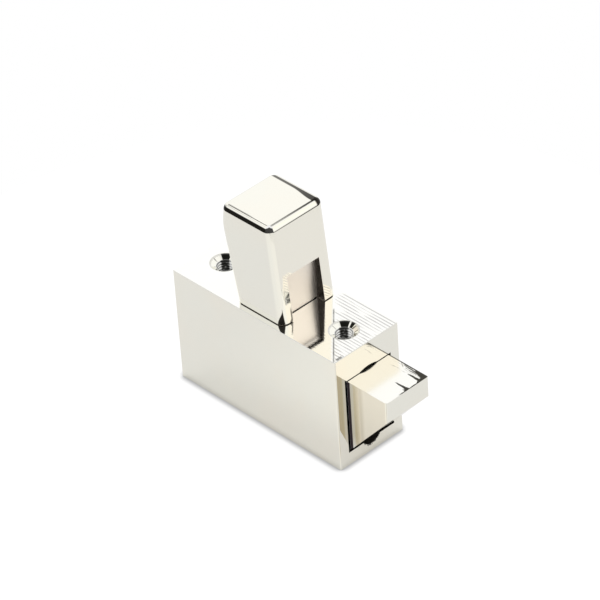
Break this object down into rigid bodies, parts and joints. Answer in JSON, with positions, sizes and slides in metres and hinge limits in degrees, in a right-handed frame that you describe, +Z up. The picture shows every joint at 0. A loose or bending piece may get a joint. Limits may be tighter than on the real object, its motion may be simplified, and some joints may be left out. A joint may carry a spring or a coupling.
{
  "type": "electronic cabinet lock",
  "caption": "Block-shaped latch lock with a spring bolt, slanted under its nose, a square thumb post on top and a locking solenoid inside.",
  "frame": {"origin": "centre of the housing's bottom face", "axes": "+X along the bolt, out of its nose; +Z up, from the bottom face to the thumb post; +Y across the housing"},
  "size_m": [0.074, 0.023, 0.0643],
  "materials": {
    "bright_nickel": "mirror-polished nickel plate over zinc alloy",
    "cover_nickel": "satin nickel plate",
    "steel": "zinc-plated steel",
    "magnet_metal": "nickel-plated magnet",
    "capacitor_can": "plain aluminium can",
    "black_plastic": "matt black moulded plastic",
    "white_plastic": "natural nylon",
    "terminal_green": "green moulded plastic",
    "board_green": "green lacquered glass-fibre board",
    "coil_wrap": "enamelled copper winding",
    "rubber": "black rubber"
  },
  "bodies": {
    "case": {"housing": "bright_nickel", "base_cover": "cover_nickel", "cover_screws": "steel", "wire_grommet": "rubber", "spring_plate": "steel", "guide_rods": "steel", "bumper": "rubber", "return_springs": "steel", "solenoid_frame": "steel", "solenoid_bobbin": "white_plastic", "solenoid_coil": "coil_wrap", "solenoid_core": "steel", "solenoid_screws": "steel", "plunger_spring": "steel", "circuit_board": "board_green", "board_screws": "steel", "hall_sensor": "black_plastic", "capacitor": "capacitor_can", "driver_chip": "black_plastic", "wire_terminal": "terminal_green"},
    "latch": {"bolt": "bright_nickel", "post": "bright_nickel", "foot_glide": "black_plastic", "post_screws": "steel", "magnet": "magnet_metal"},
    "locking_pin": {"plunger": "steel"}
  },
  "joints": [
    {"name": "bolt_slide", "type": "slide", "parent": "case", "child": "latch", "axis": [-1, 0, 0], "range_m": [0, 0.01], "stiffness_N_per_m": 400, "springref_m": -0.006, "deforming": ["return_springs"]},
    {"name": "plunger_slide", "type": "slide", "parent": "case", "child": "locking_pin", "axis": [0, 0, 1], "range_m": [0, 0.003], "stiffness_N_per_m": 200, "springref_m": -0.002, "deforming": ["plunger_spring"]}
  ]
}
